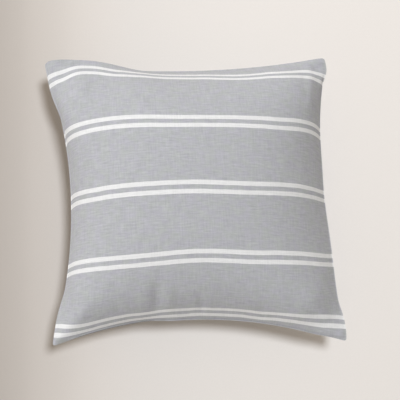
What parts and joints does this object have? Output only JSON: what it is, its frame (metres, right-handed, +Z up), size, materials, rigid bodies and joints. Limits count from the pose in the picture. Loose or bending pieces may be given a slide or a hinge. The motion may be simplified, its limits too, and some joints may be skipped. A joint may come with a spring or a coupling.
{
  "type": "throw pillow",
  "caption": "Square throw pillow with a grey woven cover striped in white, a lapped zip in one edge and a filled insert.",
  "frame": {"origin": "on the floor, below the centre of the pillow's box as it lies flat on its back panel", "axes": "+Z up through the striped front panel, +Y away from the edge with the zip, +X towards the zip's closed end"},
  "size_m": [0.5164, 0.5164, 0.188],
  "materials": {
    "cover_cloth": "slubby plain weave with white stripes",
    "sewing_thread": "matte spun thread",
    "insert_thread": "matte spun thread",
    "zip_tape": "fine woven tape",
    "zip_coil": "satin nylon",
    "zip_metal": "satin nickel",
    "insert_casing": "plain cotton",
    "fibre_fill": "loose fibre",
    "blank_label": "satin ribbon"
  },
  "bodies": {
    "pillow": {"cover_front_panel": "cover_cloth", "cover_back_panel": "cover_cloth", "cover_seam_thread": "sewing_thread", "zip_front_tape": "zip_tape", "zip_back_tape": "zip_tape", "zip_front_coil": "zip_coil", "zip_back_coil": "zip_coil", "zip_top_stop": "zip_metal", "zip_bottom_stop": "zip_metal", "zip_front_stitching": "sewing_thread", "zip_back_stitching": "sewing_thread", "zip_left_tack": "sewing_thread", "zip_right_tack": "sewing_thread", "cover_care_label": "blank_label", "insert_front_casing": "insert_casing", "insert_back_casing": "insert_casing", "insert_seam_thread": "insert_thread", "insert_label": "blank_label", "insert_fill": "fibre_fill"},
    "slider": {"zip_slider": "zip_metal"},
    "pull": {"zip_pull": "zip_metal"}
  },
  "joints": [
    {"name": "slider_travel", "type": "hinge", "parent": "pillow", "child": "slider", "pos_m": [-0.00744, -0.92262, 0.085], "axis": [0, 0, 1], "range_deg": [0, 32.95]},
    {"name": "pull_swing", "type": "hinge", "parent": "slider", "child": "pull", "pos_m": [0.20665, -0.24344, 0.085], "axis": [0, 0, 1], "range_deg": [0, 150]}
  ]
}
